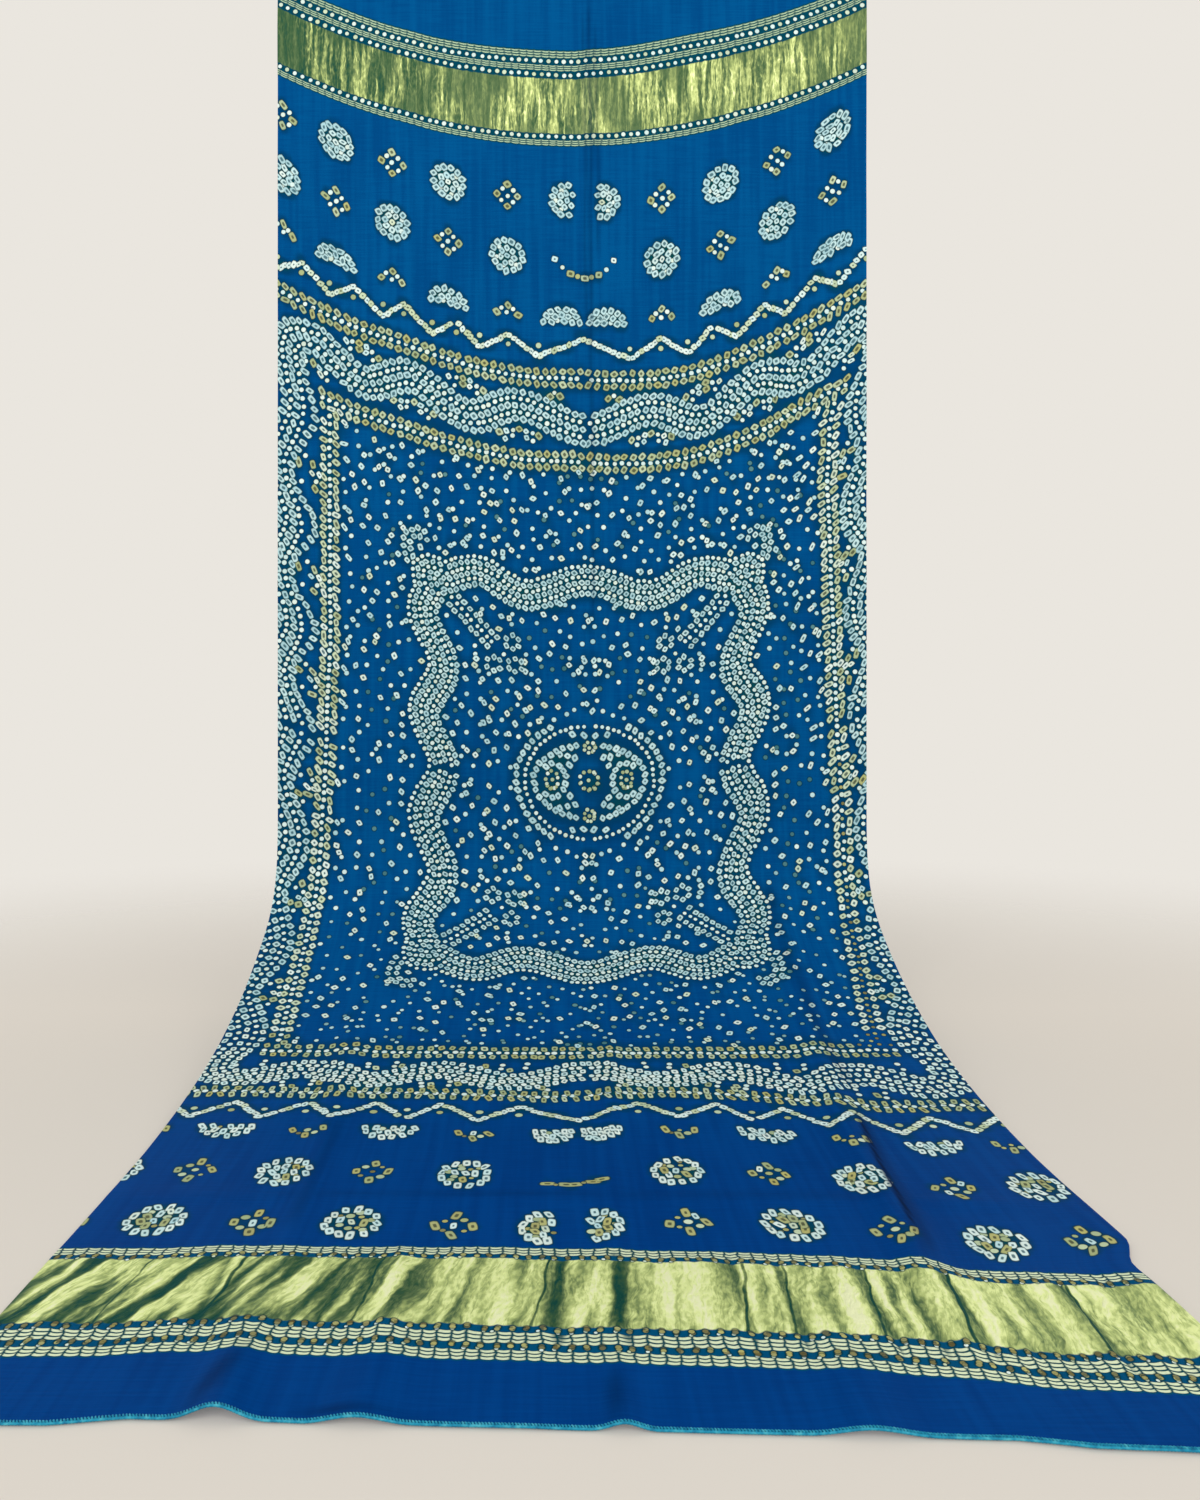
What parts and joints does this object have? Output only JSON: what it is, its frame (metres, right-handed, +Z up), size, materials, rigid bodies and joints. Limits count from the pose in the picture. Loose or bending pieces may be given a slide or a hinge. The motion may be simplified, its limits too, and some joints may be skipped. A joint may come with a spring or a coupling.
{
  "type": "bandhani cloth",
  "caption": "Long tie-dyed silk cloth with a woven gold band at each end, hanging from its top edge and sweeping forward onto the floor.",
  "frame": {"origin": "on the floor, under the middle of the whole shape", "axes": "+Z up; the face of the cloth looks along -Y and its front end lies towards -Y; +X is to the viewer's right"},
  "size_m": [0.9506, 1.011, 1.679],
  "materials": {
    "cloth": "blue silk with resist-dyed dots and gold tissue bands, soft sheen"
  },
  "bodies": {
    "root": {"cloth": "cloth"}
  },
  "joints": []
}
